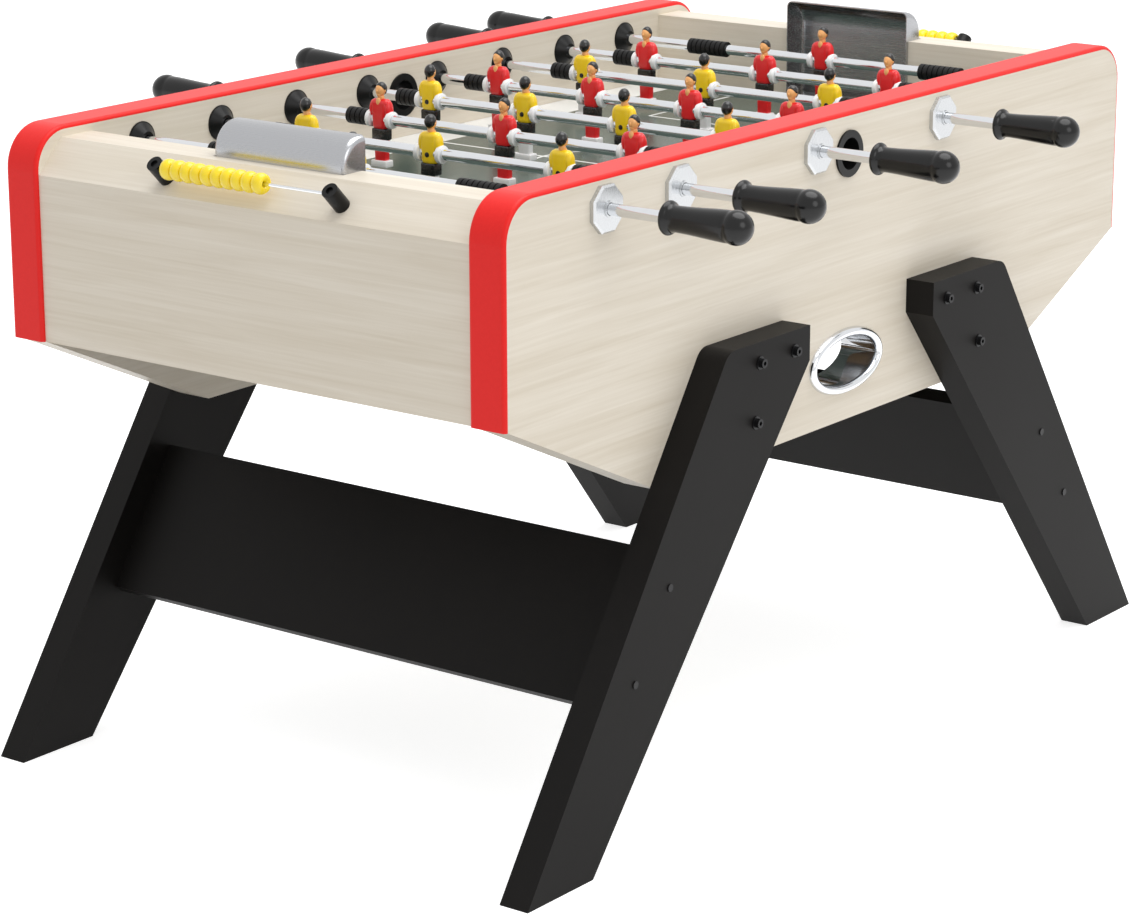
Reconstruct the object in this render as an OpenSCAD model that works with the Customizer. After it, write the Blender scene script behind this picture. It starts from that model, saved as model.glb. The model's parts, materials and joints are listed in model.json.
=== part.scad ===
// Table football: splayed plank legs, eight telescopic player rods, bead scorers.
// X runs from goal to goal, Y along the rods, Z up. Origin on the floor, under the middle.

/* [Body] */
// Length of a side panel over its edge strip
table_len = 1450; // [1430:10:1600]
// Clear width between the side panels
field_w = 700; // [680:10:800]
// Thickness of a side panel
side_t = 53; // [50:1:60]
// Height of the top of the edge strip
top_z = 855; // [845:1:880]
// Height of the lower end of the end walls and edge strips
skirt_z = 580; // [540:5:600]
// Height of the flat underside of the side panels
keel_z = 442; // [420:2:460]
// Half length of that flat underside
keel_half = 420; // [390:5:450]
// Radius of the top corners over the edge strip
corner_r = 55; // [40:1:70]
// Thickness of the moulded edge strip
strip_t = 5.5; // [4:0.5:8]
// Thickness of the boards of an end wall
wall_t = 18; // [15:1:22]
// Height of the top of an end wall
wall_z = 840; // [835:1:843]
// Height at which the slope of an end wall starts
slope_z = 797; // [790:1:800]
// Width of the flat top of an end wall
wall_top_w = 54; // [50:1:60]
// Lower edge of the inner board of an end wall
inner_z = 700; // [690:1:710]

/* [Playfield and ball return] */
// Height of the playing surface
field_z = 740; // [735:1:745]
// Thickness of the playfield board
field_t = 12; // [9:1:15]
// Depth of the grooves that hold the playfield
groove_d = 5; // [3:1:8]
// Width of a goal
goal_w = 212; // [190:2:230]
// How far the drop slot reaches into the playfield
drop_d = 12; // [10:1:20]
// Depth of a goal hood from mouth to back
hood_d = 42; // [40:1:46]
// Height of the top of a goal hood
hood_z = 883; // [878:1:890]
// How far a hood stands out of the inner board
hood_lip = 6; // [4:1:8]
// Sheet thickness of a goal hood
hood_t = 1.5; // [1:0.1:2]
// Inside width of a ball gutter
gutter_w = 44; // [40:1:50]
// Wall height of a ball gutter
gutter_h = 26; // [20:1:30]
// Wall thickness of a ball gutter
gutter_t = 3; // [2:0.5:4]
// Fall of a gutter in degrees
gutter_fall = 5; // [4:0.5:6]
// Length of a goal tray, from the end wall inwards
tray_d = 100; // [95:1:105]
// Rise of the floor of a goal tray towards its sides
tray_v = 9; // [6:1:10]

/* [Openings in the panels] */
// Outer radius of the flange of a ball entry cup
cup_flange_r = 31; // [29:0.5:33]
// Inner radius of a ball entry cup
cup_r = 21; // [20:0.5:23]
// Wall of a ball entry cup
cup_t = 3; // [2:0.5:4]
// Drop of the entry cup's axis below the rods
cup_drop = 15; // [12:1:18]
// Half length of the oval ball outlet, inside
outlet_a = 73; // [65:1:75]
// Half height of the oval ball outlet, inside
outlet_b = 31; // [28:1:33]
// Height of the middle of the outlet
outlet_z = 523; // [515:1:530]
// Width of the outlet's rim
rim_w = 13; // [10:1:16]
// How far the rim stands out of the panel
rim_h = 8; // [6:1:10]
// Wall of the outlet's sleeve
sleeve_t = 1.5; // [1:0.5:2]

/* [Rods] */
// Distance from one rod to the next
rod_pitch = 152; // [146:1:154]
// Height of the rods
rod_z = 815; // [812:1:818]
// Outer radius of a rod tube
rod_r = 7.5; // [7:0.1:8]
// Radius of the fixed guide bar inside a rod tube
bar_r = 6.3; // [5:0.1:6.5]
// Length of a guide bar
bar_len = 300; // [280:5:320]
// Radial running clearance of rods and guide bars
run_gap = 0.05; // [0.03:0.01:0.08]
// Radius of the tube of a rod bush
bush_r = 10.5; // [9.5:0.5:12]
// Radius of the flange of a rod bush
bush_flange_r = 24; // [20:1:26]
// How far a bush stands into the field
bush_h = 12; // [8:1:14]
// Depth of the pocket at the blind end of a rod
pocket_d = 42; // [38:1:44]
// Depth of the seat of a guide bar beyond the pocket
seat_d = 6; // [4:1:6]
// Distance across the flats of an outer plate
plate_w = 58; // [50:1:62]
// Thickness of an outer plate
plate_t = 8; // [5:0.5:9]
// Raised ring round the rod on an outer plate
plate_ring_h = 1.5; // [1:0.5:3]

/* [Grips and bumpers] */
// Length of a grip
grip_len = 120; // [110:1:130]
// Gap from an outer plate to the grip
grip_gap = 82; // [82:1:90]
// Radius of the flange and the ball end of a grip
grip_r = 21; // [18:0.5:22]
// Radius of the neck of a grip
grip_neck_r = 16; // [14:0.5:17]
// Length of a bumper
bumper_len = 34; // [28:1:36]
// Radius of a bumper
bumper_r = 11.5; // [10.5:0.5:13]
// Distance from the middle to the bumpers of a goalkeeper rod
keeper_bumper_y = 170; // [150:1:180]

/* [Players] */
// Spacing of the players on a rod of three
three_pitch = 210.5; // [200:0.5:212]
// Spacing of the players on a rod of four
four_pitch = 166.5; // [158:0.5:168]
// Rest position of the players along the rods
men_shift = -14; // [-20:1:0]
// Width of a player along the rod
man_w = 42; // [36:1:44]
// Height of a player's head above the rod
head_h = 50; // [46:1:54]
// Reach of a player's foot below the rod
foot_h = 66; // [60:1:68]

/* [Legs] */
// Thickness of a leg plank
leg_t = 43; // [38:1:45]
// Height of the top of a leg
leg_z = 606; // [600:1:620]
// Distance from the middle to the inner top corner
leg_top_in = 150; // [140:1:160]
// Distance from the middle to the outer top corner
leg_top_out = 332; // [325:1:345]
// Length of the upright part of the inner edge
leg_straight = 46; // [40:1:50]
// Distance from the middle to the inner corner of the foot
foot_in = 613; // [590:1:630]
// Distance from the middle to the outer corner of the foot
foot_out = 743; // [730:1:760]
// Radius of the rounded top corner of a leg
leg_r = 26; // [20:1:30]
// Width of a stretcher board
stretcher_w = 209; // [190:1:215]
// Thickness of a stretcher board
stretcher_t = 22; // [18:1:25]
// Radius of the head of a leg bolt
bolt_head_r = 6; // [5:0.5:7]
// Radius of the shank of a leg bolt
bolt_r = 4; // [3:0.5:4.5]

/* [Scorers] */
// Distance between the two posts of a scorer
post_span = 284; // [270:1:290]
// Radius of a scorer post
post_r = 10.5; // [9:0.5:12]
// Height of a scorer post
post_h = 32; // [30:1:36]
// Height of the scorer wire above the slope
wire_h = 23; // [22:0.5:25]
// Radius of the scorer wire
wire_r = 2; // [1.5:0.1:2.5]
// Radius of a bead
bead_r = 13.5; // [12:0.5:14]
// Length of a bead
bead_len = 16.7; // [15:0.1:17]
// Number of beads on a scorer
bead_n = 10; // [8:1:10]

/* [Hidden] */

ROUND = 64;                     // facets of a full circle
half_w = field_w / 2;           // middle to the inner face of a side panel
outer_y = half_w + side_t;      // middle to the outer face of a side panel
wood_half = table_len / 2 - strip_t;
wood_top = top_z - strip_t;
wood_r = corner_r - strip_t;
slope_run = wall_z - slope_z;   // the slope lies at 45 degrees
wall_in = wood_half - slope_run - wall_top_w;   // middle to the inner face of an end wall
groove_gap = 0.2;
seat_gap = 0.05;                // radial gap of parts that are pushed together
turn_gap = 0.3;                 // gap between a bumper and the player beside it
free_gap = 0.5;                 // radial gap where a rod passes without touching
play = 0.5;                     // gap left at the end of a slide

// which side a rod's grip is on, and how many players it carries, from left to right
GRIP_SIDE = [-1, -1, 1, -1, 1, -1, 1, 1];
MEN = [1, 3, 3, 4, 4, 3, 3, 1];
function rod_x(i) = (i - 3.5) * rod_pitch;
function men_pitch(n) = n == 4 ? four_pitch : three_pitch;
// middle of the players to the outer end of a bumper
function bumper_end(n) = n == 1 ? keeper_bumper_y + 2 * bumper_len
    : (n - 1) / 2 * men_pitch(n) + man_w / 2 + turn_gap + bumper_len;
// how far a rod can be pushed in before a bumper or its grip stops it
function push_in(i) = min(half_w - bush_h - bumper_end(MEN[i]) + GRIP_SIDE[i] * men_shift,
    grip_gap - plate_ring_h) - play;
// middle to the blind end of a rod tube
function tube_end(i) = half_w + pocket_d - 2 - push_in(i);
grip_y = outer_y + plate_t + grip_gap;

module along_y() rotate([-90, 0, 0]) children();

// an ellipse of half length a and half height b
module oval(a, b) {
    polygon([for (k = [0:ROUND - 1]) [a * cos(k * 360 / ROUND), b * sin(k * 360 / ROUND)]]);
}

// ---- side panels -------------------------------------------------------------

module panel_outline() {
    polygon([[-wood_half, skirt_z], [-keel_half, keel_z], [keel_half, keel_z],
        [wood_half, skirt_z]]);
    translate([-wood_half, skirt_z]) square([2 * wood_half, wood_top - wood_r - skirt_z]);
    translate([wood_r - wood_half, skirt_z])
        square([2 * (wood_half - wood_r), wood_top - skirt_z]);
    for (s = [-1, 1]) translate([s * (wood_half - wood_r), wood_top - wood_r])
        circle(wood_r, $fn = ROUND);
}

// holes for the rods in the panel on side s, drawn from its inner face outwards
module panel_bores(s) {
    for (i = [0:7]) translate([rod_x(i), s * half_w, rod_z]) mirror([0, s < 0 ? 1 : 0, 0]) {
        through = GRIP_SIDE[i] == s;
        translate([0, -1, 0]) along_y()
            cylinder(r = bush_r + seat_gap, h = (through ? side_t + 1 : pocket_d) + 1, $fn = ROUND);
        if (!through) along_y() cylinder(r = bar_r + seat_gap, h = pocket_d + seat_d, $fn = ROUND);
    }
    for (m = [0, 1]) mirror([m, 0, 0]) for (b = BOLTS)
        translate([b[0], s * (outer_y - bolt_grip), b[1]]) mirror([0, s < 0 ? 1 : 0, 0]) along_y()
            cylinder(r = bolt_r + seat_gap, h = bolt_grip + 1, $fn = ROUND / 2);
}

module panel(s) {
    color("#D8CFBE") difference() {
        translate([0, s * (half_w + side_t / 2) + side_t / 2, 0]) rotate([90, 0, 0])
            linear_extrude(side_t) panel_outline();
        panel_bores(s);
        translate([0, s * outer_y, rod_z - cup_drop]) rotate([90, 0, 0])
            cylinder(r = cup_r + cup_t + seat_gap, h = 3 * side_t, center = true, $fn = ROUND);
        translate([0, s * half_w, field_z - field_t / 2])
            cube([2 * wall_in + 2, 2 * (groove_d + groove_gap), field_t + groove_gap], center = true);
        if (s < 0) translate([0, -outer_y, outlet_z]) rotate([90, 0, 0])
            linear_extrude(3 * side_t, center = true)
            oval(outlet_a + sleeve_t + seat_gap, outlet_b + sleeve_t + seat_gap);
    }
}

// cross-section of the edge strip: flat, with both outer corners rounded
module strip_profile() {
    c = strip_t - 0.5;
    intersection() {
        translate([0, -side_t / 2]) square([strip_t, side_t]);
        union() {
            translate([0, -side_t / 2]) square([strip_t - c, side_t]);
            translate([0, c - side_t / 2]) square([strip_t, side_t - 2 * c]);
            for (s = [-1, 1]) translate([strip_t - c, s * (side_t / 2 - c)])
                circle(c, $fn = ROUND);
        }
    }
}

module edge_strip(s) {
    color("#E2302D") translate([0, s * (half_w + side_t / 2), 0]) {
        for (m = [0, 1]) mirror([m, 0, 0]) {
            translate([wood_half, 0, skirt_z])
                linear_extrude(wood_top - wood_r - skirt_z) strip_profile();
            translate([wood_half - wood_r, 0, wood_top - wood_r]) rotate([90, 0, 0])
                rotate_extrude(angle = 90, $fn = 2 * ROUND) translate([wood_r, 0]) strip_profile();
        }
        translate([wood_half - wood_r, 0, wood_top]) rotate([0, -90, 0])
            linear_extrude(2 * (wood_half - wood_r)) strip_profile();
    }
}

// ---- end walls, playfield and goals ------------------------------------------

// section of an end wall, at the left: front board, slope, top and inner board
module wall_section() {
    k = wall_t * (sqrt(2) - 1);     // keeps the boards equally thick round the 45 degree bends
    polygon([
        [-wood_half, skirt_z], [-wood_half, slope_z], [-wood_half + slope_run, wall_z],
        [-wall_in, wall_z], [-wall_in, inner_z], [-wall_in - wall_t, inner_z],
        [-wall_in - wall_t, wall_z - wall_t], [-wood_half + slope_run + k, wall_z - wall_t],
        [-wood_half + wall_t, slope_z - k], [-wood_half + wall_t, skirt_z]]);
}

module end_wall() {
    color("#CDC3B0") difference() {
        translate([0, half_w, 0]) rotate([90, 0, 0]) linear_extrude(field_w) wall_section();
        // notch for the goal hood, open to the field and down to the tray
        translate([hood_lip - wall_in - hood_d - seat_gap, -goal_w / 2 - seat_gap, inner_z - 1])
            cube([hood_d + 1, goal_w + 2 * seat_gap, wall_z - inner_z + 2]);
    }
}

module playfield() {
    color("#3F4F46") difference() {
        translate([-wall_in, -half_w - groove_d, field_z - field_t])
            cube([2 * wall_in, field_w + 2 * groove_d, field_t]);
        for (s = [-1, 1]) translate([s * wall_in, 0, field_z])
            cube([2 * drop_d, goal_w, 3 * field_t], center = true);
    }
}

// side view of a goal hood: open in front and below, quarter round over the back
module hood_side(d, top, r) {
    square([d, top - r]);
    translate([r, 0]) square([d - r, top]);
    translate([r, top - r]) circle(r, $fn = ROUND);
}

module goal_hood() {
    h = hood_z - inner_z;
    r = hood_d - 1;
    color("#B9BCC0") translate([hood_lip - wall_in - hood_d, 0, inner_z]) difference() {
        translate([0, goal_w / 2, 0]) rotate([90, 0, 0])
            linear_extrude(goal_w) intersection() { hood_side(hood_d, h, r); square([hood_d, h]); }
        translate([hood_t, goal_w / 2 - hood_t, -1]) rotate([90, 0, 0])
            linear_extrude(goal_w - 2 * hood_t) hood_side(hood_d, h - hood_t + 1, r - hood_t);
    }
}

module gutter(len) {
    w = gutter_w + 2 * gutter_t;
    difference() {
        translate([0, -w / 2, 0]) cube([len, w, gutter_h]);
        translate([-1, -gutter_w / 2, gutter_t]) cube([len + 2, gutter_w, gutter_h]);
    }
}

// the two long gutters run in from the goals and meet over the cross gutter
cross_x = -48;                       // the cross gutter lies left of the middle of the outlet
cross_y = gutter_w / 2 + gutter_t;   // its back end, under the long gutters
cross_low = outlet_z - 24;           // height of its underside at the outlet
meet_gap = 0.3;                      // gap where one gutter rests on another
drop_half = 20;                      // half of the gap between the two long gutters
// a gutter's end is square to its slope, so its top leans out by this much
gutter_lean = gutter_h * sin(gutter_fall);
gutter_rise = gutter_h / cos(gutter_fall);
long_low = cross_low + (half_w - gutter_lean + cross_y) * tan(gutter_fall) + gutter_rise + meet_gap;
tray_x = wood_half - wall_t;         // middle to the outer end of a goal tray
long_end = tray_x - 60;              // middle to the outer end of a long gutter
tray_fall = 8;
// underside of a tray at its inner end, just over the gutter below it
function long_z(s, x) = long_low + (x - s * cross_x - drop_half) * tan(gutter_fall);
function tray_z(s) = long_z(s, tray_x - tray_d) + gutter_rise + meet_gap;

module long_gutter(s) {
    x0 = s * cross_x + drop_half;
    mirror([s < 0 ? 1 : 0, 0, 0]) translate([x0, 0, long_low]) rotate([0, -gutter_fall, 0])
        gutter((long_end - x0) / cos(gutter_fall));
}

module ball_gutters() {
    color("#8A6F4D") {
        for (s = [-1, 1]) long_gutter(s);
        translate([cross_x, gutter_lean - half_w, cross_low]) rotate([0, 0, 90])
            rotate([0, -gutter_fall, 0])
            gutter((half_w - gutter_lean + cross_y) / cos(gutter_fall));
    }
}

// end view of a goal tray's floor, lowest in the middle
module tray_floor(w, h) {
    polygon([[-w / 2, tray_v], [0, 0], [w / 2, tray_v], [w / 2, h], [-w / 2, h]]);
}

// a goal tray catches the ball below the hood and hands it to the long gutter
module goal_tray(s) {
    len = tray_d / cos(tray_fall);
    tray_h = tray_v + 20;
    mirror([s > 0 ? 1 : 0, 0, 0]) translate([-tray_x, 0, tray_z(s) + tray_d * tan(tray_fall)])
        rotate([0, tray_fall, 0]) difference() {
            rotate([90, 0, 90]) linear_extrude(len) tray_floor(goal_w + 2 * gutter_t, tray_h);
            translate([gutter_t, 0, gutter_t]) rotate([90, 0, 90])
                linear_extrude(len - 2 * gutter_t) tray_floor(goal_w, tray_h);
            translate([gutter_t, 0, gutter_t]) rotate([90, 0, 90])
                linear_extrude(len) intersection() {
                    tray_floor(goal_w, tray_h);
                    square([gutter_w, 3 * tray_h], center = true);
                }
        }
}

module goal_trays() {
    color("#8A6F4D") for (s = [-1, 1]) goal_tray(s);
}

// ---- openings ----------------------------------------------------------------

module entry_cup(s) {
    flange_h = 3;
    translate([0, s * half_w, rod_z - cup_drop]) mirror([0, s < 0 ? 1 : 0, 0])
        along_y() difference() {
            union() {
                cylinder(r = cup_r + cup_t, h = side_t + flange_h, $fn = ROUND);
                for (z = [-flange_h, side_t])
                    translate([0, 0, z]) cylinder(r = cup_flange_r, h = flange_h, $fn = ROUND);
            }
            translate([0, 0, -flange_h - 1])
                cylinder(r = cup_r, h = side_t + 2 * flange_h + 2, $fn = ROUND);
        }
}

module ball_entry_cups() {
    color("#1C1C1C") for (s = [-1, 1]) entry_cup(s);
}

module ball_outlet() {
    color("#C4C7CB") translate([0, -half_w, outlet_z]) rotate([90, 0, 0]) difference() {
        union() {
            linear_extrude(side_t) oval(outlet_a + sleeve_t, outlet_b + sleeve_t);
            translate([0, 0, side_t]) linear_extrude(rim_h) oval(outlet_a + rim_w, outlet_b + rim_w);
        }
        translate([0, 0, -1]) linear_extrude(side_t + rim_h + 2) oval(outlet_a, outlet_b);
    }
}

// ---- rods --------------------------------------------------------------------

// moves a piece drawn along +Y, with its grip at the far end, to rod i
module at_rod(i) translate([rod_x(i), 0, rod_z]) mirror([0, GRIP_SIDE[i] < 0 ? 1 : 0, 0]) children();

// a bush from the inner face of a panel outwards, len long in the panel
module bush(len) {
    along_y() difference() {
        union() {
            cylinder(r = bush_r, h = len, $fn = ROUND);
            translate([0, 0, -bush_h]) cylinder(r1 = rod_r + 4, r2 = bush_flange_r - 1,
                h = bush_h - 2, $fn = ROUND);
            translate([0, 0, -2]) cylinder(r = bush_flange_r, h = 2, $fn = ROUND);
        }
        translate([0, 0, -bush_h - 1]) cylinder(r = rod_r + run_gap, h = len + bush_h + 2, $fn = ROUND);
    }
}

module rod_bushes() {
    color("#1A1A1A") for (i = [0:7]) at_rod(i) {
        translate([0, half_w, 0]) bush(side_t);
        mirror([0, 1, 0]) translate([0, half_w, 0]) bush(pocket_d - 2);
    }
}

// octagonal plate with a bevelled rim and a raised ring round the rod
module rod_plate() {
    bevel = 2.5;
    along_y() difference() {
        union() {
            rotate([0, 0, 22.5]) {
                cylinder(d = plate_w / cos(22.5), h = plate_t - bevel, $fn = 8);
                translate([0, 0, plate_t - bevel]) cylinder(d1 = plate_w / cos(22.5),
                    d2 = (plate_w - 2 * bevel) / cos(22.5), h = bevel, $fn = 8);
            }
            cylinder(r = rod_r + 2.5, h = plate_t + plate_ring_h, $fn = ROUND);
        }
        translate([0, 0, -1])
            cylinder(r = rod_r + free_gap, h = plate_t + plate_ring_h + 2, $fn = ROUND);
    }
}

module rod_plates() {
    color("#B5B8BC") for (i = [0:7]) at_rod(i) translate([0, outer_y, 0]) rod_plate();
}

module guide_bars() {
    color("#B5B8BC") for (i = [0:7]) at_rod(i)
        translate([0, -half_w - pocket_d - seat_d, 0]) along_y()
        cylinder(r = bar_r, h = bar_len, $fn = ROUND);
}

module rod(i) {
    len = tube_end(i) + grip_y + grip_len - grip_r;
    color("#C9CCD0") at_rod(i) translate([0, -tube_end(i), 0]) along_y() difference() {
        cylinder(r = rod_r, h = len, $fn = ROUND);
        translate([0, 0, -1]) cylinder(r = bar_r + run_gap, h = len + 2, $fn = ROUND);
    }
}

module bumper() {
    ribs = 4;
    rib = bumper_len / ribs;
    groove = 1.6;
    along_y() difference() {
        union() {
            cylinder(r = bumper_r - 1.5, h = bumper_len, $fn = ROUND);
            for (k = [0:ribs - 1]) translate([0, 0, k * rib + groove / 2])
                cylinder(r = bumper_r, h = rib - groove, $fn = ROUND);
        }
        translate([0, 0, -1]) cylinder(r = rod_r + run_gap, h = bumper_len + 2, $fn = ROUND);
    }
}

// a goalkeeper's rod has two bumpers in a row on each side
module bumpers(i) {
    n = MEN[i];
    color("#161616") translate([rod_x(i), men_shift, rod_z])
        for (m = [0, 1]) mirror([0, m, 0]) {
            translate([0, bumper_end(n) - bumper_len, 0]) bumper();
            if (n == 1) translate([0, keeper_bumper_y, 0]) bumper();
        }
}

module grip(i) {
    body_len = grip_len - grip_r;   // up to the middle of the ball end
    flange_h = 9;
    waist_end = 14;
    color("#141414") at_rod(i) translate([0, grip_y, 0]) along_y() difference() {
        rotate_extrude($fn = ROUND) {
            square([grip_neck_r, body_len]);
            square([grip_r - 1.5, flange_h]);
            translate([0, 1.5]) square([grip_r, flange_h - 3]);
            polygon([[0, waist_end], [grip_neck_r, waist_end], [grip_r, body_len], [0, body_len]]);
            intersection() {
                translate([0, body_len]) circle(grip_r);
                translate([0, body_len]) square(grip_r);
            }
        }
        translate([0, 0, -1]) cylinder(r = rod_r + seat_gap, h = body_len + 1, $fn = ROUND);
    }
}

// ---- players -----------------------------------------------------------------

// front view of a player's trunk: hips, chest and round shoulders
module trunk() {
    hip = -14;
    shoulder = 28;
    shoulder_r = 8;
    half = 16;
    polygon([[-11, hip], [11, hip], [half, shoulder - shoulder_r], [-half, shoulder - shoulder_r]]);
    translate([shoulder_r - half, 0]) square([2 * (half - shoulder_r), shoulder]);
    for (s = [-1, 1]) translate([s * (half - shoulder_r), shoulder - shoulder_r])
        circle(shoulder_r, $fn = ROUND / 2);
}

// a player facing +X, with the rod's axis along Y through the origin
module man() {
    head_r = 8.5;
    difference() {
        union() {
            along_y() cylinder(r = 11, h = man_w, center = true, $fn = ROUND);
            translate([-9, 0, 0]) rotate([90, 0, 90]) linear_extrude(18) trunk();
            cylinder(r = 5, h = head_h - head_r, $fn = ROUND / 2);
            translate([1, 0, head_h - head_r]) sphere(head_r, $fn = ROUND / 2);
            // shorts, socks and foot block
            translate([-8, -12, -28]) cube([16, 24, 20]);
            translate([-6, -10, 5 - foot_h]) cube([12, 20, foot_h - 10]);
            translate([-8, -13.5, -foot_h]) cube([17, 27, 10]);
        }
        along_y() cylinder(r = rod_r + seat_gap, h = 2 * man_w, center = true, $fn = ROUND);
    }
}

module men(i) {
    n = MEN[i];
    color(GRIP_SIDE[i] < 0 ? "#F0CC10" : "#D8141A") translate([rod_x(i), men_shift, rod_z])
        mirror([GRIP_SIDE[i] > 0 ? 1 : 0, 0, 0])
        for (k = [0:n - 1]) translate([0, (k - (n - 1) / 2) * men_pitch(n), 0]) man();
}

// ---- legs --------------------------------------------------------------------

brace_lean = atan2(leg_z, foot_out - leg_top_out);   // slope of a leg's outer edge
// bolts of a leg: two side by side at the top and one below the outer one
BOLTS = [[185, 579], [263, 579], [271, 503]];
bolt_grip = 38;      // depth of a bolt in the side panel
brace_x = 491;       // middle of a stretcher
brace_z = 280;
brace_screw = 64;    // its middle to a screw, along the board
brace_grip = 45;     // depth of a screw in the end of a stretcher
screw_r = 3;
// screws of a stretcher, in the side view of a leg
SCREWS = [for (s = [-1, 1]) [brace_x + s * brace_screw * cos(brace_lean),
    brace_z - s * brace_screw * sin(brace_lean)]];

// outline of a right-hand leg; the arc of its outer top corner touches both edges
module leg_outline() {
    cut = leg_r / tan((180 - brace_lean) / 2);
    polygon([[leg_top_in, leg_z], [leg_top_in, leg_z - leg_straight], [foot_in, 0], [foot_out, 0],
        [leg_top_out + cut * cos(brace_lean), leg_z - cut * sin(brace_lean)],
        [leg_top_out - cut, leg_z]]);
    translate([leg_top_out - cut, leg_z - leg_r]) circle(leg_r, $fn = ROUND);
}

// puts a piece drawn for the leg at the right and the back into another corner
module corner(sx, sy) mirror([sx < 0 ? 1 : 0, 0, 0]) mirror([0, sy < 0 ? 1 : 0, 0]) children();

module leg(sx, sy) {
    color("#232120") corner(sx, sy) difference() {
        translate([0, outer_y + leg_t, 0]) rotate([90, 0, 0]) linear_extrude(leg_t) leg_outline();
        for (b = BOLTS) translate([b[0], outer_y - 1, b[1]]) along_y()
            cylinder(r = bolt_r + seat_gap, h = leg_t + 2, $fn = ROUND / 2);
        for (b = SCREWS) translate([b[0], outer_y - 1, b[1]]) along_y()
            cylinder(r = screw_r + seat_gap, h = leg_t + 2, $fn = ROUND / 2);
    }
}

module stretcher(sx) {
    color("#232120") corner(sx, 1) difference() {
        translate([brace_x, 0, brace_z]) rotate([0, brace_lean, 0])
            cube([stretcher_w, 2 * outer_y, stretcher_t], center = true);
        for (b = SCREWS) for (m = [0, 1]) mirror([0, m, 0])
            translate([b[0], outer_y - brace_grip, b[1]]) along_y()
            cylinder(r = screw_r + seat_gap, h = brace_grip + 1, $fn = ROUND / 2);
    }
}

module leg_bolts() {
    washer_r = 8.5;
    washer_h = 1.5;
    head_h = 6;
    color("#2A2A2A") for (sx = [-1, 1]) for (sy = [-1, 1]) corner(sx, sy) for (b = BOLTS)
        translate([b[0], outer_y + leg_t, b[1]]) along_y() difference() {
            union() {
                translate([0, 0, -leg_t - bolt_grip])
                    cylinder(r = bolt_r, h = leg_t + bolt_grip, $fn = ROUND / 2);
                cylinder(r = washer_r, h = washer_h, $fn = ROUND);
                cylinder(r = bolt_head_r, h = washer_h + head_h, $fn = ROUND);
            }
            // hexagonal socket
            translate([0, 0, washer_h + head_h / 2]) cylinder(r = bolt_head_r / 2, h = head_h, $fn = 6);
        }
}

module stretcher_screws() {
    head_r = 5;
    head_h = 1.5;
    color("#2A2A2A") for (sx = [-1, 1]) for (sy = [-1, 1]) corner(sx, sy) for (b = SCREWS)
        translate([b[0], outer_y + leg_t, b[1]]) along_y() {
            translate([0, 0, -leg_t - brace_grip])
                cylinder(r = screw_r, h = leg_t + brace_grip, $fn = ROUND / 2);
            cylinder(r = head_r, h = head_h, $fn = ROUND / 2);
        }
}

// ---- scorers -----------------------------------------------------------------

post_up = 24;        // foot of the slope to the middle of a post
wire_in = 6;         // depth of the wire beyond the middle of a post

// drawn on the slope of the left end wall: Z square to the slope, Y along it.
// The right-hand scorer is the left one turned half round.
module on_slope(side) rotate([0, 0, side < 0 ? 0 : 180])
    translate([-wood_half + post_up / sqrt(2), 0, slope_z + post_up / sqrt(2)])
    rotate([0, -45, 0]) children();

module scorer_posts() {
    socket_r = 5;
    color("#C4C7CB") for (side = [-1, 1]) on_slope(side) for (s = [-1, 1])
        translate([0, s * post_span / 2, 0]) difference() {
            cylinder(r = post_r, h = post_h, $fn = ROUND);
            translate([0, 0, post_h - 3]) cylinder(r = socket_r, h = 4, $fn = ROUND / 2);
            translate([0, -s * (post_r + 1), wire_h]) rotate([-90 * s, 0, 0])
                cylinder(r = wire_r + seat_gap, h = post_r + 1 + wire_in, $fn = ROUND / 2);
        }
}

module scorer_wires() {
    color("#C4C7CB") for (side = [-1, 1]) on_slope(side)
        translate([0, -post_span / 2 - wire_in, wire_h]) along_y()
        cylinder(r = wire_r, h = post_span + 2 * wire_in, $fn = ROUND / 2);
}

module bead() {
    round_r = 4;
    thick = bead_len - 0.2;
    difference() {
        rotate_extrude($fn = ROUND) {
            square([bead_r - round_r, thick]);
            translate([0, round_r]) square([bead_r, thick - 2 * round_r]);
            for (z = [round_r, thick - round_r]) translate([bead_r - round_r, z])
                circle(round_r, $fn = ROUND / 2);
        }
        translate([0, 0, -1]) cylinder(r = wire_r + run_gap, h = bead_len + 2, $fn = ROUND / 2);
    }
}

module score_beads(side) {
    first = post_span / 2 - post_r - turn_gap - bead_n * bead_len;
    color("#FFE000") on_slope(side) for (k = [0:bead_n - 1])
        translate([0, first + k * bead_len, wire_h]) along_y() bead();
}

// ---- nodes -------------------------------------------------------------------

panel(-1);  // side_panel_front
panel(1);  // side_panel_back
edge_strip(-1);  // edge_strip_front
edge_strip(1);  // edge_strip_back
end_wall();  // end_wall_left
mirror([1, 0, 0]) end_wall();  // end_wall_right
playfield();
goal_hood();  // goal_hood_left
mirror([1, 0, 0]) goal_hood();  // goal_hood_right
leg(-1, -1);  // leg_front_left
leg(1, -1);  // leg_front_right
leg(-1, 1);  // leg_back_left
leg(1, 1);  // leg_back_right
stretcher(-1);  // stretcher_left
stretcher(1);  // stretcher_right
leg_bolts();
stretcher_screws();
rod_bushes();
rod_plates();
guide_bars();
ball_entry_cups();
ball_outlet();
ball_gutters();
goal_trays();
scorer_posts();
scorer_wires();
score_beads(-1);  // score_beads_left
score_beads(1);  // score_beads_right
rod(0);  // rod_1
rod(1);  // rod_2
rod(2);  // rod_3
rod(3);  // rod_4
rod(4);  // rod_5
rod(5);  // rod_6
rod(6);  // rod_7
rod(7);  // rod_8
men(0);  // men_1
men(1);  // men_2
men(2);  // men_3
men(3);  // men_4
men(4);  // men_5
men(5);  // men_6
men(6);  // men_7
men(7);  // men_8
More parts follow.
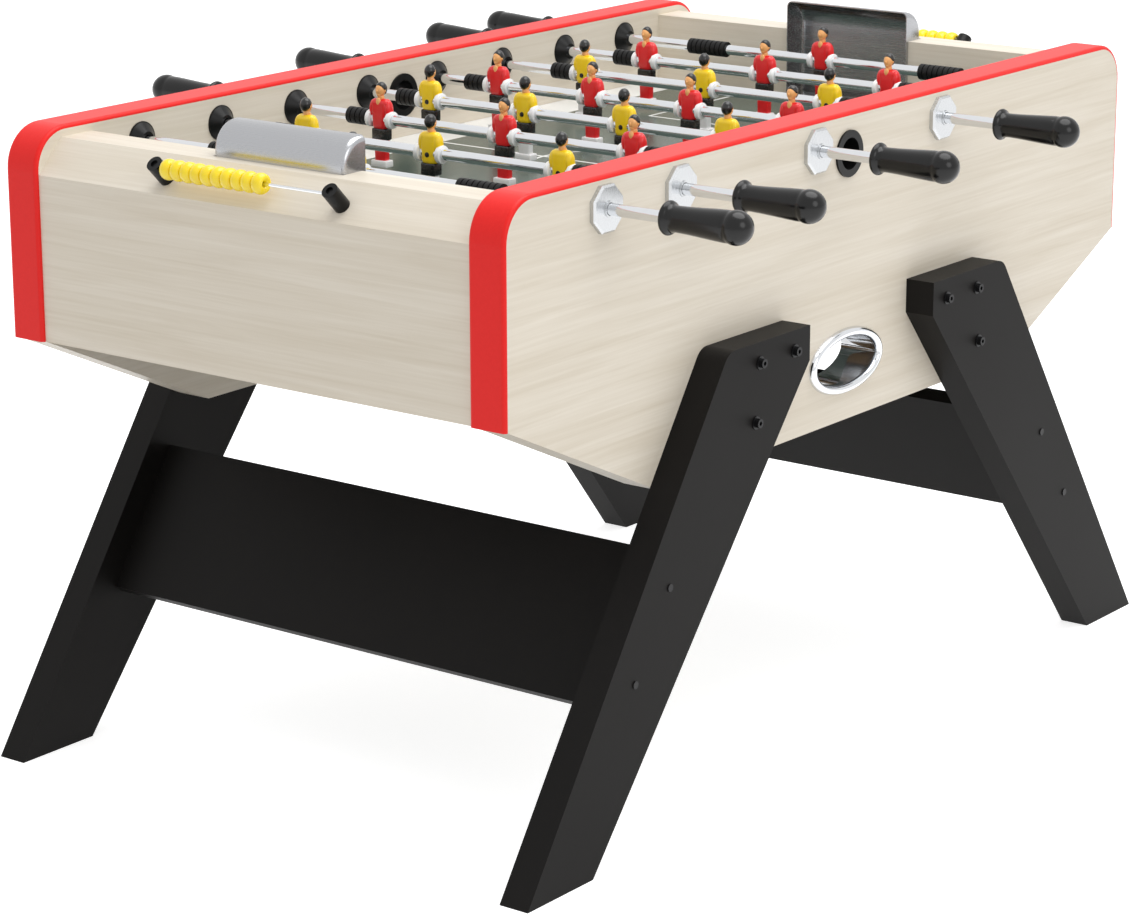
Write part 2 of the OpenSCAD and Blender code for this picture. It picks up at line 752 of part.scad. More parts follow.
bumpers(0);  // bumpers_1
bumpers(1);  // bumpers_2
bumpers(2);  // bumpers_3
bumpers(3);  // bumpers_4
bumpers(4);  // bumpers_5
bumpers(5);  // bumpers_6
bumpers(6);  // bumpers_7
bumpers(7);  // bumpers_8
grip(0);  // grip_1
grip(1);  // grip_2
grip(2);  // grip_3
grip(3);  // grip_4
grip(4);  // grip_5
grip(5);  // grip_6
grip(6);  // grip_7
grip(7);  // grip_8
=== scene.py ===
import json
import math

import bpy
from mathutils import Matrix, Vector


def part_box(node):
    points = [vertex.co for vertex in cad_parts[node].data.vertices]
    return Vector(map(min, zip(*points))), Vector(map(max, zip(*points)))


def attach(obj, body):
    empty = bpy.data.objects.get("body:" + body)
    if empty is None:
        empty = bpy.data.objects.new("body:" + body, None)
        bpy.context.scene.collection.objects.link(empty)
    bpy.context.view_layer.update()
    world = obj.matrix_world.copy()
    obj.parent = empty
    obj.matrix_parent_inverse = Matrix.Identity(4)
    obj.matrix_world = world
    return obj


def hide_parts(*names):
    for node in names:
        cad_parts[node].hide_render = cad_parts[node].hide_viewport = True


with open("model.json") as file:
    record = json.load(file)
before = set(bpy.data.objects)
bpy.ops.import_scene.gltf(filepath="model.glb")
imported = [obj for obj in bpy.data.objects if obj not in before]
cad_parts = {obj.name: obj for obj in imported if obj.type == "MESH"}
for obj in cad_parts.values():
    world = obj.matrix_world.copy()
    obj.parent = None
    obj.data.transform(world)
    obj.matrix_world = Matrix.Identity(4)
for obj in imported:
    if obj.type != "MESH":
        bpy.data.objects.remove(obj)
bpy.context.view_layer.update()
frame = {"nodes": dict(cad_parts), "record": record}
nodes = frame["nodes"]
RODS = range(1, 9)


# ---- Camera, floor and light ----------------------------------------------------------
# The table stands on a pale studio floor that runs out into a white backdrop.
# One broad soft lamp hangs over it, with a weaker one in front of the near corner.

def linear(code):
    """An sRGB hex colour as linear red, green, blue and alpha."""
    parts = [int(code[k:k + 2], 16) / 255 for k in (1, 3, 5)]
    return [c / 12.92 if c < 0.04045 else ((c + 0.055) / 1.055) ** 2.4 for c in parts] + [1.0]


def add(tree, kind, values=None, **settings):
    """Adds a node with its settings; a value that is a socket is linked."""
    node = tree.nodes.new(kind)
    for name, value in settings.items():
        setattr(node, name, value)
    for name, value in (values or {}).items():
        socket = node.inputs[name]
        if isinstance(value, bpy.types.NodeSocket):
            tree.links.new(value, socket)
        else:
            socket.default_value = value
    return node


def new_tree(name):
    """A new material with an empty node tree."""
    material = bpy.data.materials.new(name)
    material.use_nodes = True
    material.node_tree.nodes.clear()
    return material, material.node_tree


def close_tree(tree, values):
    """Ends a material with a Principled shader and its output."""
    shader = add(tree, "ShaderNodeBsdfPrincipled", values)
    add(tree, "ShaderNodeOutputMaterial", {"Surface": shader.outputs[0]})


def maths(tree, operation, *values):
    """The result of one sum or test on numbers or sockets."""
    return add(tree, "ShaderNodeMath", dict(enumerate(values)), operation=operation).outputs[0]


def noise(tree, scale, detail):
    """Noise that stays put on its piece; it is finer at a greater scale."""
    place = add(tree, "ShaderNodeTexCoord")
    values = {"Vector": place.outputs["Object"], "Scale": scale, "Detail": detail}
    return add(tree, "ShaderNodeTexNoise", values).outputs[0]


def blend(tree, factor, first, second):
    """A colour between two, each a hex code or a socket."""
    ends = [linear(end) if isinstance(end, str) else end for end in (first, second)]
    return add(tree, "ShaderNodeMix", {0: factor, 6: ends[0], 7: ends[1]}, data_type="RGBA").outputs[2]


def spread(tree, value, low, high):
    """A value from 0 to 1 as one from low to high."""
    return add(tree, "ShaderNodeMapRange", {"Value": value, "To Min": low, "To Max": high}).outputs[0]


def relief(tree, height, strength, distance=0.0002):
    """Normals that follow a height."""
    values = {"Strength": strength, "Distance": distance, "Height": height}
    return add(tree, "ShaderNodeBump", values).outputs[0]


def seen_directly(tree):
    """1 for a ray from the camera, or one that reaches it off a mirror or through glass."""
    path = add(tree, "ShaderNodeLightPath")
    seen = maths(tree, "MAXIMUM", path.outputs["Is Camera Ray"], path.outputs["Is Glossy Ray"])
    return maths(tree, "MAXIMUM", seen, path.outputs["Is Transmission Ray"])


scene = bpy.context.scene
scene.view_settings.view_transform = "Standard"

camera = bpy.data.objects.new("camera", bpy.data.cameras.new("camera"))
scene.collection.objects.link(camera)
camera.location = (-3.8093, -2.8375, 1.6507)
camera.rotation_euler = (math.radians(74.451), math.radians(0.127), math.radians(-52.943))
camera.data.lens = 111.91
camera.data.shift_x = -0.0085
camera.data.shift_y = -0.0034
camera.data.clip_end = 100
scene.camera = camera

bpy.ops.object.select_all(action="DESELECT")
bpy.ops.mesh.primitive_plane_add(size=40, location=(0, 0, 0))
floor = bpy.context.object
floor.name = "floor"
floor_finish, tree = new_tree("pale studio floor")
lift = maths(tree, "MULTIPLY", seen_directly(tree), 0.72)
matt = add(tree, "ShaderNodeBsdfDiffuse", {"Color": linear("#E6E6E6")})
glow = add(tree, "ShaderNodeEmission", {"Strength": lift})
both = add(tree, "ShaderNodeAddShader", {0: matt.outputs[0], 1: glow.outputs[0]})
add(tree, "ShaderNodeOutputMaterial", {"Surface": both.outputs[0]})
floor.data.materials.append(floor_finish)

world = bpy.data.worlds.new("studio")
scene.world = world
world.use_nodes = True
tree = world.node_tree
tree.nodes.clear()
level = spread(tree, seen_directly(tree), 0.76, 1.0)
sky = add(tree, "ShaderNodeBackground", {"Color": (1, 1, 1, 1), "Strength": level})
add(tree, "ShaderNodeOutputWorld", {"Surface": sky.outputs[0]})

LAMPS = (("top lamp", (0.4, -0.6, 3.6), 3.0, 70),
         ("front lamp", (-1.2, -4.2, 2.6), 2.4, 28))
for name, place, size, power in LAMPS:
    lamp = bpy.data.objects.new(name, bpy.data.lights.new(name, "AREA"))
    scene.collection.objects.link(lamp)
    lamp.data.shape = "DISK"
    lamp.data.size = size
    lamp.data.energy = power
    lamp.location = place
    lamp.rotation_euler = (Vector((0, 0, 0.6)) - Vector(place)).to_track_quat("-Z", "Y").to_euler()


# ---- Side panels and end walls --------------------------------------------------------
# Thick chipboard faced with a pale whitewashed oak laminate; the grain runs the long way
# of each board. The laminate is satin, with fine pores that barely catch the light.

def laminate(name, along):
    """Whitewashed oak laminate with its grain along one axis."""
    material, tree = new_tree(name)
    stretch = [2.6 if axis == along else 46.0 for axis in "XYZ"]
    fine = [4.0 if axis == along else 260.0 for axis in "XYZ"]
    place = add(tree, "ShaderNodeTexCoord")
    wide = add(tree, "ShaderNodeMapping", {"Vector": place.outputs["Object"], "Scale": stretch})
    narrow = add(tree, "ShaderNodeMapping", {"Vector": place.outputs["Object"], "Scale": fine})
    cloud = add(tree, "ShaderNodeTexNoise", {"Vector": wide.outputs[0], "Scale": 1.0, "Detail": 6.0,
                                             "Roughness": 0.6, "Distortion": 0.6})
    pore = add(tree, "ShaderNodeTexNoise", {"Vector": narrow.outputs[0], "Scale": 1.0, "Detail": 3.0})
    tone = add(tree, "ShaderNodeMix", {0: 0.35, 2: cloud.outputs[0], 3: pore.outputs[0]},
               data_type="FLOAT")
    ramp = add(tree, "ShaderNodeValToRGB", {0: tone.outputs[0]})
    ramp.color_ramp.elements[0].position = 0.3
    ramp.color_ramp.elements[0].color = linear("#D2C7B4")
    ramp.color_ramp.elements[1].position = 0.72
    ramp.color_ramp.elements[1].color = linear("#E6DED0")
    bump = relief(tree, pore.outputs[0], 0.05, 0.0003)
    close_tree(tree, {"Base Color": ramp.outputs[0], "Roughness": 0.42, "Normal": bump})
    return material


def dress(node, material):
    """Gives a finish to a piece of the frame."""
    for slot in nodes[node].material_slots:
        slot.material = material


oak_long = laminate("whitewashed oak laminate, grain along the table", "X")
oak_cross = laminate("whitewashed oak laminate, grain across the table", "Y")
for node in ("side_panel_front", "side_panel_back"):
    dress(node, oak_long)
for node in ("end_wall_left", "end_wall_right"):
    dress(node, oak_cross)


# ---- Edge strips ----------------------------------------------------------------------
# A red PVC moulding is pressed over the top and the ends of each side panel.
# The plastic is satin, with the very slight orange peel of an extruded strip.

red_strip, tree = new_tree("extruded red PVC")
peel = noise(tree, 260.0, 2.0)
close_tree(tree, {"Base Color": blend(tree, peel, "#E3130F", "#EB1D18"), "Roughness": 0.4,
                  "Normal": relief(tree, peel, 0.06), "Specular IOR Level": 0.3})
for node in ("edge_strip_front", "edge_strip_back"):
    dress(node, red_strip)


# ---- Playfield ------------------------------------------------------------------------
# A smooth board with a printed dark green laminate. Both long sides are white bands; the
# halfway line, the centre circle and the boxes by the goals are thin white lines.

line_half = 0.0025      # half the width of a printed line
band_y = 0.28           # where a white band starts, from the middle
circle_r = 0.0975
box_x = 0.345           # the long line of a box, from the halfway line
box_y = 0.166           # half the width of a box

field, tree = new_tree("gloss green playfield laminate")
place = add(tree, "ShaderNodeTexCoord")
parts = add(tree, "ShaderNodeSeparateXYZ", {0: place.outputs["Object"]})
across = maths(tree, "ABSOLUTE", parts.outputs["X"])
aside = maths(tree, "ABSOLUTE", parts.outputs["Y"])
flat = add(tree, "ShaderNodeVectorMath", {0: place.outputs["Object"], 1: (1, 1, 0)}, operation="MULTIPLY")
reach = add(tree, "ShaderNodeVectorMath", {0: flat.outputs[0]}, operation="LENGTH").outputs["Value"]


def on_line(value, where):
    """1 on a printed line of the field, where the value is near a distance."""
    return maths(tree, "COMPARE", value, where, line_half)


box_front = maths(tree, "MULTIPLY", on_line(across, box_x), maths(tree, "LESS_THAN", aside, box_y))
box_side = maths(tree, "MULTIPLY", on_line(aside, box_y), maths(tree, "GREATER_THAN", across, box_x))
white = maths(tree, "GREATER_THAN", aside, band_y)
for mark in (on_line(reach, circle_r), box_front, box_side, on_line(across, 0.0)):
    white = maths(tree, "MAXIMUM", white, mark)
cloud = noise(tree, 9.0, 3.0)
green = blend(tree, cloud, "#3A4A42", "#46564D")
close_tree(tree, {"Base Color": blend(tree, white, green, "#E9EAE8"),
                  "Roughness": spread(tree, cloud, 0.2, 0.28)})
dress("playfield", field)


# ---- Goal hoods -----------------------------------------------------------------------
# A goal is a pressed stainless steel hood, let into the end wall and open to the field.
# Its back rolls over to the lip; the steel is brushed along the goal, so it shines softly.

def brushed(name, colour, roughness, along):
    """Brushed metal with its strokes along one axis."""
    material, tree = new_tree(name)
    strokes = [6.0 if axis == along else 900.0 for axis in "XYZ"]
    place = add(tree, "ShaderNodeTexCoord")
    drawn = add(tree, "ShaderNodeMapping", {"Vector": place.outputs["Object"], "Scale": strokes})
    grit = add(tree, "ShaderNodeTexNoise", {"Vector": drawn.outputs[0], "Scale": 1.0, "Detail": 2.0})
    dull = spread(tree, grit.outputs[0], roughness - 0.07, roughness + 0.1)
    close_tree(tree, {"Base Color": linear(colour), "Metallic": 1.0, "Roughness": dull,
                      "Normal": relief(tree, grit.outputs[0], 0.04)})
    return material


def place_edges(piece, wanted):
    """Selects the edges whose middle and direction pass a test."""
    bpy.ops.mesh.select_mode(type="EDGE")
    bpy.ops.mesh.select_all(action="DESELECT")
    bpy.ops.object.mode_set(mode="OBJECT")
    for edge in piece.data.edges:
        start, end = (piece.data.vertices[k].co for k in edge.vertices)
        edge.select = wanted((start + end) / 2, (end - start).normalized())
    bpy.ops.object.mode_set(mode="EDIT")


def place_faces(piece, wanted):
    """Selects the faces whose normal passes a test."""
    bpy.ops.mesh.select_mode(type="FACE")
    bpy.ops.mesh.select_all(action="DESELECT")
    bpy.ops.object.mode_set(mode="OBJECT")
    for face in piece.data.polygons:
        face.select = wanted(face.normal)
    bpy.ops.object.mode_set(mode="EDIT")


def cube(name, low, high):
    """A block between two corners, with its place in its mesh."""
    bpy.ops.object.select_all(action="DESELECT")
    middle = [(a + b) / 2 for a, b in zip(low, high)]
    bpy.ops.mesh.primitive_cube_add(size=1, location=middle, scale=[b - a for a, b in zip(low, high)])
    piece = bpy.context.object
    piece.name = name
    bpy.ops.object.transform_apply(location=True, rotation=True, scale=True)
    return piece


def turned(piece, angle):
    """Recalculates the normals of a closed piece and shades its round faces smooth."""
    bpy.ops.object.mode_set(mode="EDIT")
    bpy.ops.mesh.select_all(action="SELECT")
    bpy.ops.mesh.remove_doubles(threshold=0.00001)
    bpy.ops.mesh.normals_make_consistent(inside=False)
    bpy.ops.object.mode_set(mode="OBJECT")
    bpy.ops.object.shade_smooth_by_angle(angle=math.radians(angle))


hood_steel = brushed("brushed stainless steel hood", "#B3B4B7", 0.24, "Y")
hood_sheet = 0.0015     # thickness of the steel
hood_roll = 0.037       # bend from the back to the top
hood_corner = 0.008     # bends to the two ends
seam_z = 0.03           # the end bends stop this far above the wall's seat
near = 0.001
for side, node in ((-1, "goal_hood_left"), (1, "goal_hood_right")):
    low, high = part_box(node)
    hood = cube("hood_left" if side < 0 else "hood_right", low, high)
    back_x = low[0] if side < 0 else high[0]
    bpy.ops.object.mode_set(mode="EDIT")
    place_faces(hood, lambda normal: normal.z < -0.5 or normal.x * side < -0.5)
    bpy.ops.mesh.delete(type="ONLY_FACE")
    place_edges(hood, lambda mid, way: abs(way.y) > 0.9 and mid.z > high[2] - near
                and abs(mid.x - back_x) < near)
    bpy.ops.mesh.bevel(offset=hood_roll, segments=10)
    place_edges(hood, lambda mid, way: abs(way.y) < 0.5 and abs(abs(mid.y) - high[1]) < near / 2
                and mid.z > low[2] + seam_z and not (abs(way.z) > 0.9 and abs(mid.x - back_x) > seam_z))
    bpy.ops.mesh.bevel(offset=hood_corner, segments=5)
    bpy.ops.object.mode_set(mode="OBJECT")
    wall = hood.modifiers.new("sheet", "SOLIDIFY")
    wall.thickness = hood_sheet
    wall.offset = -1
    bpy.ops.object.modifier_apply(modifier="sheet")
    bpy.ops.object.shade_smooth_by_angle(angle=math.radians(50))
    hood.data.materials.append(hood_steel)
    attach(hood, "table")
    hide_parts(node)


# ---- Legs and stretchers --------------------------------------------------------------
# Four splayed planks and two cross boards of MDF, with a sprayed black satin lacquer.
# The spray leaves a fine eggshell texture, a little duller in places.

lacquer, tree = new_tree("black satin lacquer on MDF")
drift = noise(tree, 5.0, 4.0)
close_tree(tree, {"Base Color": blend(tree, drift, "#100F0E", "#191716"),
                  "Roughness": spread(tree, drift, 0.46, 0.56),
                  "Normal": relief(tree, noise(tree, 420.0, 2.0), 0.05, 0.0003),
                  "Specular IOR Level": 0.12})
for node in ("leg_front_left", "leg_front_right", "leg_back_left", "leg_back_right",
             "stretcher_left", "stretcher_right"):
    dress(node, lacquer)


# ---- Bolts and screws -----------------------------------------------------------------
# Socket-head bolts with washers hold the legs to the panels; screws hold the cross boards.
# The steel is chemically blackened, which leaves it dark with a dull oily shine.

black_steel, tree = new_tree("blackened steel fastener")
stain = noise(tree, 180.0, 3.0)
close_tree(tree, {"Base Color": blend(tree, stain, "#121213", "#242426"), "Metallic": 0.6, "Roughness": 0.38})
for node in ("leg_bolts", "stretcher_screws"):
    dress(node, black_steel)


# ---- Bushes, ball entry cups and scorer posts -----------------------------------------
# Black nylon bushes carry the rods through the panels. The entry cups and the scorers'
# posts are of the same plastic, which is moulded with a fine matt texture.

nylon, tree = new_tree("moulded black nylon")
grain = noise(tree, 700.0, 2.0)
close_tree(tree, {"Base Color": blend(tree, grain, "#0B0B0B", "#131313"), "Roughness": 0.33,
                  "Normal": relief(tree, grain, 0.07), "Specular IOR Level": 0.22})
for node in ("rod_bushes", "ball_entry_cups", "scorer_posts"):
    dress(node, nylon)


# ---- Outer plates, rods, guide bars and scorer wires ----------------------------------
# The octagonal plates are satin-plated zinc castings. Rods, bars and wires are
# chrome-plated steel, polished, with faint draw marks along their length.

plate_zinc = brushed("satin plated zinc plate", "#C9CBCD", 0.25, "Z")
dress("rod_plates", plate_zinc)
chrome, tree = new_tree("polished chrome on steel")
place = add(tree, "ShaderNodeTexCoord")
drawn = add(tree, "ShaderNodeMapping", {"Vector": place.outputs["Object"], "Scale": (500.0, 8.0, 500.0)})
streaks = add(tree, "ShaderNodeTexNoise", {"Vector": drawn.outputs[0], "Scale": 1.0, "Detail": 2.0})
close_tree(tree, {"Base Color": linear("#E0E2E5"), "Metallic": 1.0,
                  "Roughness": spread(tree, streaks.outputs[0], 0.07, 0.16)})
for node in ["guide_bars", "scorer_wires"] + [f"rod_{k}" for k in RODS]:
    dress(node, chrome)


# ---- Ball outlet ----------------------------------------------------------------------
# The ball comes back through an oval chromed rim with a thin sleeve behind it.
# The rim is spun from one sheet, so it is round all over and mirror bright.

def rings(name, steps, corners):
    """A shape drawn through oval rings: each step is a height and two half widths."""
    bpy.ops.object.select_all(action="DESELECT")
    height, wide, deep = steps[0]
    bpy.ops.mesh.primitive_circle_add(vertices=corners, radius=1, location=(0, 0, height))
    piece = bpy.context.object
    piece.name = name
    piece.scale = (wide, deep, 1)
    bpy.ops.object.transform_apply(location=True, rotation=True, scale=True)
    bpy.ops.object.mode_set(mode="EDIT")
    bpy.ops.mesh.select_all(action="SELECT")
    for new_height, new_wide, new_deep in steps[1:]:
        bpy.ops.mesh.extrude_region_move(TRANSFORM_OT_translate={"value": (0, 0, new_height - height)})
        bpy.ops.transform.resize(value=(new_wide / wide, new_deep / deep, 1),
                                 center_override=(0, 0, new_height))
        height, wide, deep = new_height, new_wide, new_deep
    bpy.ops.object.mode_set(mode="OBJECT")
    return piece


def settle(piece, matrix):
    """Moves a finished piece's mesh to its place, with its object left at the origin."""
    piece.data.transform(matrix)
    piece.data.update()


low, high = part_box("ball_outlet")
rim_a = (high[0] - low[0]) / 2
rim_b = (high[2] - low[2]) / 2
rim_wide = 0.013        # from the opening to the outer edge
rim_high = 0.008        # how far the rim stands out from the panel
rim_steps = 8           # flats round the rim's half circle
sleeve = 0.0015         # wall of the sleeve
close = 0.0002          # keeps the rim just inside the frame's box
deep = high[1] - low[1]
seat = deep - rim_high
hole_a = rim_a - rim_wide
hole_b = rim_b - rim_wide
outline = [(0, hole_a, hole_b), (seat, hole_a, hole_b)]
for k in range(rim_steps + 1):
    turn = math.radians(180 - 180 / rim_steps * k)
    grow = rim_wide / 2 * (1 + math.cos(turn))
    outline.append((seat + (rim_high - close) * math.sin(turn), hole_a + grow, hole_b + grow))
outline += [(seat, hole_a + sleeve, hole_b + sleeve), (0, hole_a + sleeve, hole_b + sleeve),
            (0, hole_a, hole_b)]
outlet = rings("outlet_rim", outline, 96)
turned(outlet, 50)
settle(outlet, Matrix.Translation(((low[0] + high[0]) / 2, high[1], (low[2] + high[2]) / 2))
       @ Matrix.Rotation(math.radians(90), 4, "X"))
outlet.data.materials.append(chrome)
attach(outlet, "table")
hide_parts("ball_outlet")


# ---- Gutters and trays ----------------------------------------------------------------
# Under the playfield, plain hardboard gutters and trays lead the ball to the outlet.
# The board is left raw: brown, fibrous and quite matt.

hardboard, tree = new_tree("raw brown hardboard")
fibre = noise(tree, 240.0, 5.0)
close_tree(tree, {"Base Color": blend(tree, fibre, "#6E5234", "#9A7A52"), "Roughness": 0.8,
                  "Normal": relief(tree, fibre, 0.2, 0.0004)})
for node in ("ball_gutters", "goal_trays"):
    dress(node, hardboard)


# ---- Score beads ----------------------------------------------------------------------
# Ten moulded beads a side, of bright yellow gloss plastic, threaded on the wire.
# Their colour varies a little from bead to bead, as from one moulding to the next.

bead_plastic, tree = new_tree("gloss yellow bead plastic")
batch = noise(tree, 55.0, 1.0)
close_tree(tree, {"Base Color": blend(tree, batch, "#F7D400", "#FFE60A"), "Roughness": 0.22,
                  "Coat Weight": 0.4})

beads = 10
bead_hole = 0.0024      # radius of the hole for the wire
bead_gap = 0.0002       # between two beads
for node, body in (("score_beads_left", "beads_left"), ("score_beads_right", "beads_right")):
    low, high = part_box(node)
    pitch = (high[1] - low[1]) / beads
    bead_r = (high[0] - low[0]) / 2
    for k in range(beads):
        middle = ((low[0] + high[0]) / 2, low[1] + (k + 0.5) * pitch, (low[2] + high[2]) / 2)
        bpy.ops.object.select_all(action="DESELECT")
        bpy.ops.mesh.primitive_torus_add(major_segments=48, minor_segments=20, location=middle,
                                         major_radius=(bead_r + bead_hole) / 2,
                                         minor_radius=(bead_r - bead_hole) / 2,
                                         rotation=(math.pi / 2, 0, 0))
        bead = bpy.context.object
        bead.name = f"{body}_bead_{k + 1}"
        bead.scale = (1, 1, (pitch - bead_gap) / (bead_r - bead_hole))
        bpy.ops.object.transform_apply(location=True, rotation=True, scale=True)
        bpy.ops.object.shade_smooth()
        bead.data.materials.append(bead_plastic)
        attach(bead, body)
        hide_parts(node)


# ---- Bumpers --------------------------------------------------------------------------
# Ribbed rubber bumpers cushion the players against the bushes.
# Soft black rubber, dull, with a faint bloom.

rubber, tree = new_tree("soft black rubber")
bloom = noise(tree, 160.0, 3.0)
close_tree(tree, {"Base Color": blend(tree, bloom, "#090909", "#121212"),
                  "Roughness": spread(tree, bloom, 0.38, 0.55), "Specular IOR Level": 0.25})
for k in RODS:
    dress(f"bumpers_{k}", rubber)


# ---- Grips ----------------------------------------------------------------------------
# Each rod ends in a moulded grip with a finger flange, a slim waist and a ball end.
# The plastic is jet black and glossy, so it shows long clean highlights.

grip_black, tree = new_tree("gloss black grip plastic")
close_tree(tree, {"Base Color": linear("#080808"), "Specular IOR Level": 0.38,
                  "Roughness": spread(tree, noise(tree, 40.0, 2.0), 0.17, 0.25)})

low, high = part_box("grip_1")
mm = 0.001
grip_r = (high[0] - low[0]) / 2 / mm
grip_len = (high[1] - low[1]) / mm
tip = 0.1               # keeps the ball just inside the frame's box
# Distance from the rod's end of the grip, and radius, in millimetres.
profile = [(0, 14.5), (0.3, 17), (1.6, 19.6), (3.2, 20.7), (4.8, 20.9), (6.6, 20.2), (8.4, 18.2), (10, 16.8),
           (12.5, 16.1), (18, 15.9), (34, 16.5), (52, 17.6), (70, 18.8), (84, 19.5), (89, 19.5), (91.5, 19.3),
           (93.5, 20.0)]
for turn in range(-10, 90, 10):
    angle = math.radians(turn)
    profile.append((grip_len - grip_r + grip_r * math.sin(angle), (grip_r - tip) * math.cos(angle)))
profile.append((grip_len - tip, 0.6))
grip = rings("grip_pattern", [(h * mm, r * mm, r * mm) for h, r in profile], 40)
bpy.ops.object.mode_set(mode="EDIT")
bpy.ops.mesh.edge_face_add()
place_edges(grip, lambda mid, way: mid.z < 0.0001)
bpy.ops.mesh.edge_face_add()
bpy.ops.object.mode_set(mode="OBJECT")
turned(grip, 60)
grip.data.materials.append(grip_black)
for k in RODS:
    low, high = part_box(f"grip_{k}")
    outward = -1 if low[1] < 0 else 1
    start = high[1] if outward < 0 else low[1]
    copy = grip.copy()
    copy.data = grip.data.copy()
    copy.name = f"handle_{k}"
    scene.collection.objects.link(copy)
    settle(copy, Matrix.Translation(((low[0] + high[0]) / 2, start, (low[2] + high[2]) / 2))
           @ Matrix.Rotation(math.radians(-90 * outward), 4, "X"))
    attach(copy, f"rod_{k}")
    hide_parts(f"grip_{k}")
bpy.data.objects.remove(grip)


# ---- Players --------------------------------------------------------------------------
# Each player is one hard plastic moulding, dip-painted: jersey, black shorts and hair,
# white cuffs and shoes. It faces the rival goal and is pinned through its back.

def paint(name, thin, thick, roughness=0.3):
    """Gloss paint on a moulded player, a little darker where the coat is thin."""
    material, tree = new_tree(name)
    brush = noise(tree, 130.0, 3.0)
    close_tree(tree, {"Base Color": blend(tree, brush, thin, thick),
                      "Roughness": spread(tree, brush, roughness - 0.05, roughness + 0.08),
                      "Normal": relief(tree, brush, 0.1, 0.0004), "Coat Weight": 0.25})
    return material


red_paint = paint("red jersey paint", "#DD0F17", "#EC1A20")
yellow_paint = paint("yellow jersey paint", "#F8CC00", "#FFDC12")
skin_paint = paint("skin tone paint", "#EFAA64", "#F8B874")
black_paint = paint("black hair and shorts paint", "#070707", "#0E0E0E", 0.26)
white_paint = paint("white cuff and shoe paint", "#EDEDED", "#F6F6F6")


def softened(piece, width, segments=3):
    """Rounds all of a block's edges and gives it smooth shading."""
    rounding = piece.modifiers.new("rounding", "BEVEL")
    rounding.width = width
    rounding.segments = segments
    rounding.limit_method = "NONE"
    bpy.ops.object.modifier_apply(modifier="rounding")
    bpy.ops.object.shade_smooth()
    return piece


def tapered(piece, upward, factor):
    """Widens or narrows a block's top or bottom face."""
    bpy.ops.object.mode_set(mode="EDIT")
    place_faces(piece, lambda normal: normal.z * upward > 0.5)
    bpy.ops.transform.resize(value=factor)
    bpy.ops.object.mode_set(mode="OBJECT")
    return piece


def ball_shape(name, middle, scale, corners=20):
    """A rounded lump of a player, with its place in its mesh."""
    bpy.ops.object.select_all(action="DESELECT")
    bpy.ops.mesh.primitive_uv_sphere_add(segments=corners, ring_count=corners // 2, radius=1,
                                         location=middle, scale=scale)
    piece = bpy.context.object
    piece.name = name
    bpy.ops.object.transform_apply(location=True, rotation=True, scale=True)
    bpy.ops.object.shade_smooth()
    return piece


def disc(name, middle, radius, thick, axis, corners=24):
    """A short round piece along X or Y with softened rims."""
    bpy.ops.object.select_all(action="DESELECT")
    turn = {"X": (0, math.pi / 2, 0), "Y": (math.pi / 2, 0, 0)}[axis]
    bpy.ops.mesh.primitive_cylinder_add(vertices=corners, radius=radius, depth=thick, location=middle,
                                        rotation=turn)
    piece = bpy.context.object
    piece.name = name
    bpy.ops.object.transform_apply(location=True, rotation=True, scale=True)
    rounding = piece.modifiers.new("rounding", "BEVEL")
    rounding.width = min(0.0012, thick * 0.3)
    rounding.segments = 2
    rounding.angle_limit = math.radians(50)
    bpy.ops.object.modifier_apply(modifier="rounding")
    bpy.ops.object.shade_smooth_by_angle(angle=math.radians(40))
    return piece


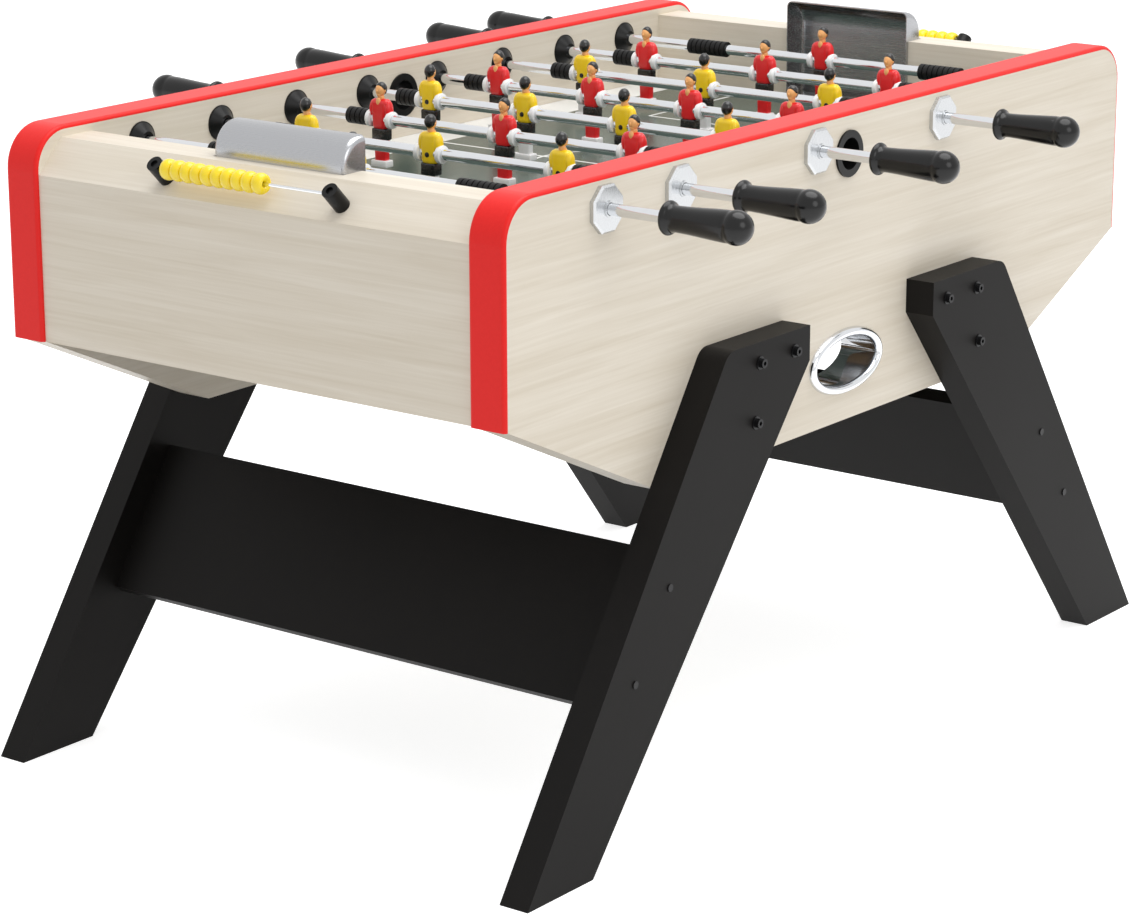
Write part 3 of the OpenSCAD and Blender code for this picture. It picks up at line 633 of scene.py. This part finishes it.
def player(name, jersey, sock):
    """One player facing +X, with the middle of the rod at the origin."""
    made = []

    def keep(piece, finish):
        piece.data.materials.append(finish)
        made.append(piece)

    chest = cube("chest", (-0.0085, -0.0115, -0.015), (0.0085, 0.0115, 0.0275))
    tapered(chest, 1, (0.92, 1.3, 1))
    keep(softened(chest, 0.0065, 5), jersey)
    for side in (-1, 1):
        keep(ball_shape("upper_arm", (0, side * 0.0128, 0.0125), (0.0075, 0.0056, 0.0135)), jersey)
        keep(disc("cuff", (0, side * 0.0175, -0.0005), 0.0118, 0.007, "Y", 32), white_paint)
    keep(ball_shape("neck", (0.0005, 0, 0.029), (0.0048, 0.0048, 0.0065), 16), skin_paint)
    keep(ball_shape("neckline", (0.0062, 0, 0.0235), (0.0022, 0.0042, 0.0062), 12), skin_paint)
    keep(ball_shape("face", (0.0012, 0, 0.0392), (0.0074, 0.0068, 0.0092)), skin_paint)
    keep(ball_shape("nose", (0.0084, 0, 0.0385), (0.0016, 0.0012, 0.0024), 12), skin_paint)
    keep(ball_shape("chin", (0.0052, 0, 0.0332), (0.0026, 0.0034, 0.0022), 12), skin_paint)
    for side in (-1, 1):
        keep(ball_shape("ear", (0.0002, side * 0.0068, 0.0385), (0.0016, 0.001, 0.0024), 12), skin_paint)
    hair = ball_shape("hair", (-0.0006, 0, 0.0404), (0.0084, 0.0077, 0.0096), 24)
    bpy.ops.object.mode_set(mode="EDIT")
    bpy.ops.mesh.select_all(action="SELECT")
    bpy.ops.mesh.bisect(plane_co=(0.0012, 0, 0.0398), plane_no=(0.78, 0, -0.62),
                        use_fill=True, clear_outer=True)
    bpy.ops.object.mode_set(mode="OBJECT")
    keep(hair, black_paint)
    shorts = cube("shorts", (-0.0082, -0.0118, -0.029), (0.0082, 0.0118, -0.0125))
    keep(softened(shorts, 0.0024), black_paint)
    socks = cube("socks", (-0.0062, -0.0098, -0.058), (0.0062, 0.0098, -0.026))
    tapered(socks, -1, (0.9, 0.92, 1))
    keep(softened(socks, 0.0024), sock)
    shoe = cube("shoe", (-0.0078, -0.0134, -0.0658), (0.0088, 0.0134, -0.056))
    keep(softened(shoe, 0.0018), white_paint)
    # The pin hole in the back is not cut: a black disc is laid there as painted shade of the hole.
    keep(disc("pin_hole_painted_shade", (-0.0083, 0, -0.0015), 0.0034, 0.0012, "X"), black_paint)
    bpy.ops.object.select_all(action="DESELECT")
    for piece in made:
        piece.select_set(True)
    bpy.context.view_layer.objects.active = made[0]
    bpy.ops.object.join()
    whole = bpy.context.object
    whole.name = name
    return whole


patterns = {"men_yellow": player("yellow_pattern", yellow_paint, white_paint),
            "men_red": player("red_pattern", red_paint, red_paint)}
slots = {entry["node"]: entry["material_slot"] for entry in frame["record"]["subparts"]}
player_w = 0.042        # over the cuffs
players_on = (1, 3, 3, 4, 4, 3, 3, 1)
for k, count in zip(RODS, players_on):
    low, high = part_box(f"men_{k}")
    rod_low, rod_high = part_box(f"rod_{k}")
    team = slots[f"men_{k}"]
    first_y = (low[1] + high[1]) / 2 if count == 1 else low[1] + player_w / 2
    spacing = 0 if count == 1 else (high[1] - low[1] - player_w) / (count - 1)
    for j in range(count):
        copy = patterns[team].copy()
        copy.data = patterns[team].data.copy()
        copy.name = f"player_{k}_{j + 1}"
        scene.collection.objects.link(copy)
        spot = ((rod_low[0] + rod_high[0]) / 2, first_y + j * spacing, (rod_low[2] + rod_high[2]) / 2)
        facing = 0 if team == "men_yellow" else math.pi
        settle(copy, Matrix.Translation(spot) @ Matrix.Rotation(facing, 4, "Z"))
        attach(copy, f"rod_{k}")
        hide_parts(f"men_{k}")
for pattern in patterns.values():
    bpy.data.objects.remove(pattern)
